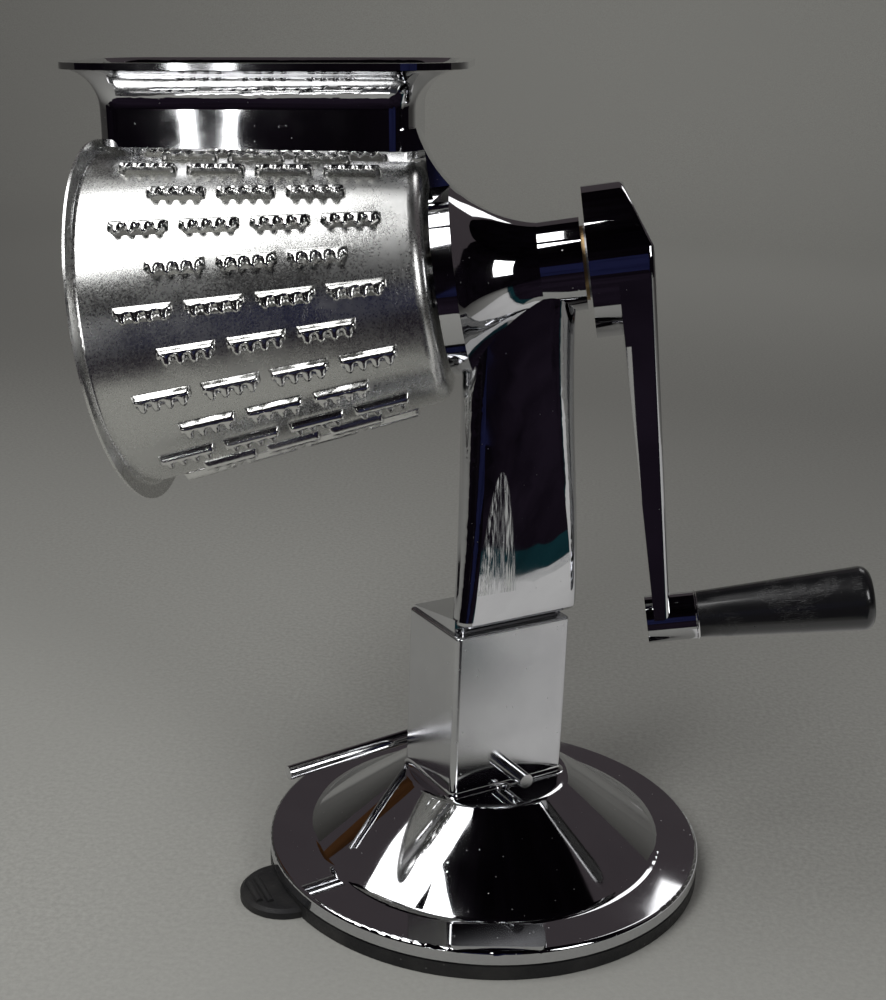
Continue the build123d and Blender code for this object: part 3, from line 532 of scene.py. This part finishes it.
# the bend in section: down the front from the hinge line, out of the sheet
BEND = [
    (-0.0003, -0.0004), (0.0001, 0.0004), (0.0005, 0.0013), (0.0009, 0.0021), (0.0014, 0.0026),
    (0.0022, 0.0029)]
# the domed end: distance past the louvre's end, share of the full height
DOME = [(0.0009, 0.0), (0.0006, 0.6), (0.0, 0.95)]
# across one tooth, in halves of its width: place, reach of the metal from valley to tip
TOOTH = [(-0.7, 0.0), (-0.5, 0.75), (-0.25, 0.95), (0.0, 1.0), (0.25, 0.95), (0.5, 0.75), (0.7, 0.0)]
# from the bend to the free edge: share of the way, share of the flute's depth
FREE_EDGE = [(0.35, 0.6), (0.7, 1.0), (1.0, 1.1)]


def louvre_columns():
    """Columns along one louvre: place, end of the metal down the front, depth of the flute, height."""
    columns = [(-HALF - past, VALLEY, 0.0, height) for past, height in DOME]
    for tooth in range(TEETH):
        middle = -HALF + (tooth + 0.5) * 2 * HALF / TEETH
        for side, reach in TOOTH:
            end = VALLEY + (TIP - VALLEY) * reach
            columns.append((middle + side * HALF / TEETH, end, FLUTE * side ** 2, 1.0))
    columns += [(HALF + past, VALLEY, 0.0, height) for past, height in reversed(DOME)]
    return columns


def louvre_points(x, end, flute, height):
    """The points of one column, from the hinge line to the free edge."""
    points = [(x, y, z * height if z > 0 else z) for y, z in BEND]
    bend_end, crest = BEND[-1]
    for share, sink in FREE_EDGE:
        points.append((x, bend_end + (end - bend_end) * share, (crest - flute * sink) * height))
    return points


def add_louvre(mesh, around, along):
    """One cap at its angle round the cone and its place along the axis."""
    radius = BIG_R + (SMALL_R - BIG_R) * (along - BIG_END) / (SMALL_END - BIG_END)
    out = AXIS_UP * cos(around) + AXIS_FRONT * sin(around)
    origin = AXIS_ORIGIN + out * radius + AXIS_ALONG * along
    local_z = out * cos(SLOPE) + AXIS_ALONG * sin(SLOPE)
    local_x = out * sin(SLOPE) - AXIS_ALONG * cos(SLOPE)
    local_y = local_z.cross(local_x)
    rows = []
    for column in louvre_columns():
        points = louvre_points(*column)
        rows.append([mesh.verts.new(origin + local_x * x + local_y * y + local_z * z) for x, y, z in points])
    for left, right in zip(rows, rows[1:]):
        for i in range(len(left) - 1):
            mesh.faces.new((left[i], right[i], right[i + 1], left[i + 1]))


caps = bmesh.new()
for row in range(ROWS):
    long_row = row % 2 == 1
    for step in range(LONG_ROW if long_row else SHORT_ROW):
        shift = 0.0 if long_row else PITCH / 2
        add_louvre(caps, 2 * pi * (row + PHASE) / ROWS, FIRST + shift + step * PITCH)
for face in caps.faces:
    face.smooth = True
cap_mesh = bpy.data.meshes.new("louvre_caps")
caps.to_mesh(cap_mesh)
caps.free()
cap_mesh.materials.append(rubbed_tin)
louvre_caps = bpy.data.objects.new("louvre_caps", cap_mesh)
scene.collection.objects.link(louvre_caps)
sheet_metal = louvre_caps.modifiers.new("sheet", "SOLIDIFY")
sheet_metal.thickness = CAP_METAL
sheet_metal.offset = 0.0
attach(louvre_caps, "cone")
print("louvre caps:", len(cap_mesh.polygons), "faces")


# %% [markdown]
# ## The studio
# Chrome has no colour of its own: it shows the room. So the room is built with as much care as
# the object. The ground is a round sheet of grey paper that turns up far away into a wall, so
# that there is no line between floor and background from any side.

# %% Paper sweep
def grey_paper():
    """Matt grey paper with a faint fibre, for the floor and the wall."""
    material, tree, shader = new_material("grey_paper", Roughness=0.9, Specular_IOR_Level=0.15)
    fibre = effect(tree, grain, Scale=420.0, Contrast=0.2)
    clouds = effect(tree, smudges, Scale=2.0)
    paper = blend_colours(tree, fibre.outputs["Mask"], PAPER_DARK, PAPER_LIGHT)
    tree.links.new(
        blend_colours(tree, clouds.outputs["Mask"], paper, PAPER_MIDDLE), shader.inputs["Base Color"])
    bump(tree, shader, fibre.outputs["Height"], 0.3, 0.0005)
    return material


def stage_mesh(name, corners, faces, material):
    """A piece of the studio, from its corner points."""
    mesh = bpy.data.meshes.new(name)
    mesh.from_pydata(corners, [], faces)
    mesh.materials.append(material)
    piece = bpy.data.objects.new(name, mesh)
    scene.collection.objects.link(piece)
    return piece


def turned_stage(name, profile, material, start=0.0, stop=360.0, steps=96):
    """A studio piece turned about the vertical: radius and height pairs, degrees from the camera."""
    angles = [radians(start + (stop - start) * i / steps) for i in range(steps + 1)]
    corners = [(r * sin(a), -r * cos(a), z) for a in angles for r, z in profile]
    rows = len(profile)
    faces = [(i * rows + j, (i + 1) * rows + j, (i + 1) * rows + j + 1, i * rows + j + 1)
             for i in range(steps) for j in range(rows - 1)]
    return stage_mesh(name, corners, faces, material)


PAPER_DARK = (0.29, 0.29, 0.27)
PAPER_LIGHT = (0.38, 0.38, 0.352)
PAPER_MIDDLE = (0.33, 0.33, 0.307)
FLAT, TURN_UP, WALL_TOP = 1.9, 0.8, 1.0
bend = [(FLAT + TURN_UP * sin(radians(9 * i)), TURN_UP * (1 - cos(radians(9 * i)))) for i in range(11)]
sweep = turned_stage("paper_sweep", [(0.0, 0.0), (0.6, 0.0), *bend, (FLAT + TURN_UP, WALL_TOP)], grey_paper())
sweep.location.z = -0.0002
for face in sweep.data.polygons:
    face.use_smooth = True
print("paper sweep", round(2 * (FLAT + TURN_UP), 1), "m across")


# %% [markdown]
# ### Dark cloths
# Black cloth hangs round the camera's side and over it, as in a real studio, and gives the
# plate its deep darks between the lamps. Cloth also lies on the floor in front on the right: the
# leg stands turned to that side, and the cloth's blue green hem is what draws the teal edge low
# on the leg. A white card beside it brightens the front of the post. The corners of hem and card
# were found by following a ray from the camera over the leg to the floor. The cloths are there
# for mirror reflections only, so they hide nothing from any side.

# %% Cloths
def cloth_material(name, colour, fold_shade=0.4):
    """Heavy cloth with painted fold shade: darker in noise blotches by the share given."""
    material, tree, shader = new_material(name, Roughness=0.95, Specular_IOR_Level=0.0)
    painted_fold_shade = effect(tree, smudges, Scale=4.0)
    shaded_colour = tuple(part * fold_shade for part in colour)
    # painted shade of folds on the flat cloth, by a cloudy noise
    tree.links.new(blend_colours(tree, painted_fold_shade.outputs["Mask"], colour, shaded_colour), shader.inputs["Base Color"])
    return material


def reflected_only(piece):
    """A studio piece that only mirror reflections see."""
    piece.visible_camera = False
    piece.visible_diffuse = False
    piece.visible_shadow = False
    piece.visible_transmission = False
    return piece


def floor_cloth(name, outline, material):
    """A cloth lying flat, from its corners in metres."""
    corners = [(x, y, 0.0004) for x, y in outline]
    return reflected_only(stage_mesh(name, corners, [tuple(range(len(corners)))], material))


black_cloth = cloth_material("black_cloth", (0.014, 0.010, 0.017))
teal_cloth = cloth_material("teal_cloth", (0.010, 0.045, 0.055))
blue_cloth = cloth_material("blue_cloth", (0.03, 0.035, 0.12))
brown_board = cloth_material("brown_board", (0.22, 0.10, 0.04))
white_card = cloth_material("white_card", (0.80, 0.80, 0.78), 0.92)
floor_cloth("black_floor_cloth", [
    (-1.3, -0.48), (-0.02, -0.42), (0.06, -0.16), (0.17, -0.14), (0.26, -0.18), (0.53, -0.46),
    (1.35, -1.30), (1.2, -1.5), (-1.3, -1.5)], black_cloth)
floor_cloth("teal_hem", [
    (0.17, -0.14), (0.20, -0.075), (0.37, -0.235), (1.45, -1.20), (1.35, -1.30), (0.53, -0.46),
    (0.26, -0.18)], teal_cloth)
reflected_only(turned_stage("front_cloth", [(1.5, 0.0), (1.5, 1.7)], black_cloth, -80, 95, 24))
reflected_only(turned_stage("over_cloth", [(1.5, 1.7), (0.0, 1.7)], black_cloth, 0, 360, 48))
reflected_only(turned_stage("low_band", [(1.3, 0.0), (1.3, 0.5)], blue_cloth, -6, 22, 12))
reflected_only(turned_stage("side_board", [(1.6, 0.75), (1.6, 1.2)], brown_board, -138, -120, 6))
floor_cloth("white_card", [
    (0.105, -0.10), (0.19, -0.08), (0.37, -0.24), (0.60, -0.45), (0.75, 0.15), (0.105, 0.15)], white_card)
print("cloths hung")


# %% [markdown]
# ### Lamps and the room
# The lamps are area lights. Their shape matters, because polished metal mirrors it. The tall one
# in front on the left shines along the cone, the one above on the left makes the white patch on
# the dome, and the small one on the right gives each rounded edge its fine white line. Two thin
# tubes beyond the camera draw the pair of bright bars on the front of the hopper. Two more
# lamps only light the paper: one near the object and one on the far wall. They stay out of the
# mirror reflections, as a lamp behind a flag would. The rest of the room is nearly dark.

# %% Lamps
def soft_lamp(name, location, aim, width, tall, power):
    """An area light at a point in metres, turned towards another point."""
    data = bpy.data.lights.new(name, "AREA")
    data.shape = "RECTANGLE"
    data.size, data.size_y = width, tall
    data.energy = power
    lamp = bpy.data.objects.new(name, data)
    scene.collection.objects.link(lamp)
    lamp.location = location
    lamp.rotation_euler = (Vector(location) - Vector(aim)).to_track_quat("Z", "Y").to_euler()
    return lamp


MIDDLE = (0.0, 0.0, 0.15)
soft_lamp("cone_lamp", (-0.42, -0.56, 1.12), (-0.14, -0.05, 0.25), 0.38, 0.60, 4.2)
soft_lamp("top_lamp", (-0.56, -0.02, 1.15), (-0.25, -0.02, 0.0), 0.46, 0.80, 4.5)
soft_lamp("right_lamp", (0.83, -0.70, 0.68), MIDDLE, 0.34, 0.50, 3.2)
soft_lamp("left_tube", (-0.455, -1.34, 0.28), (-0.128, 0.0, 0.28), 0.014, 0.34, 0.16)
soft_lamp("right_tube", (-0.405, -1.36, 0.28), (-0.115, 0.0, 0.28), 0.014, 0.34, 0.16)
soft_lamp("back_lamp", (0.50, 1.15, 1.10), MIDDLE, 0.5, 0.4, 1.2)
for lamp in (
        soft_lamp("paper_lamp", (-0.45, -0.75, 0.70), (-0.12, -0.32, 0.0), 0.4, 0.4, 2.0),
        soft_lamp("wall_lamp", (0.1, 1.3, 1.3), (0.2, 2.8, 0.2), 1.6, 0.4, 7.0)):
    lamp.visible_glossy = False
    lamp.data.spread = radians(150)

world = bpy.data.worlds.new("room")
scene.world = world
world.use_nodes = True
world.node_tree.nodes["Background"].inputs["Color"].default_value = (0.052, 0.044, 0.048, 1.0)
world.node_tree.nodes["Background"].inputs["Strength"].default_value = 1.0
scene.view_settings.view_transform = "Standard"
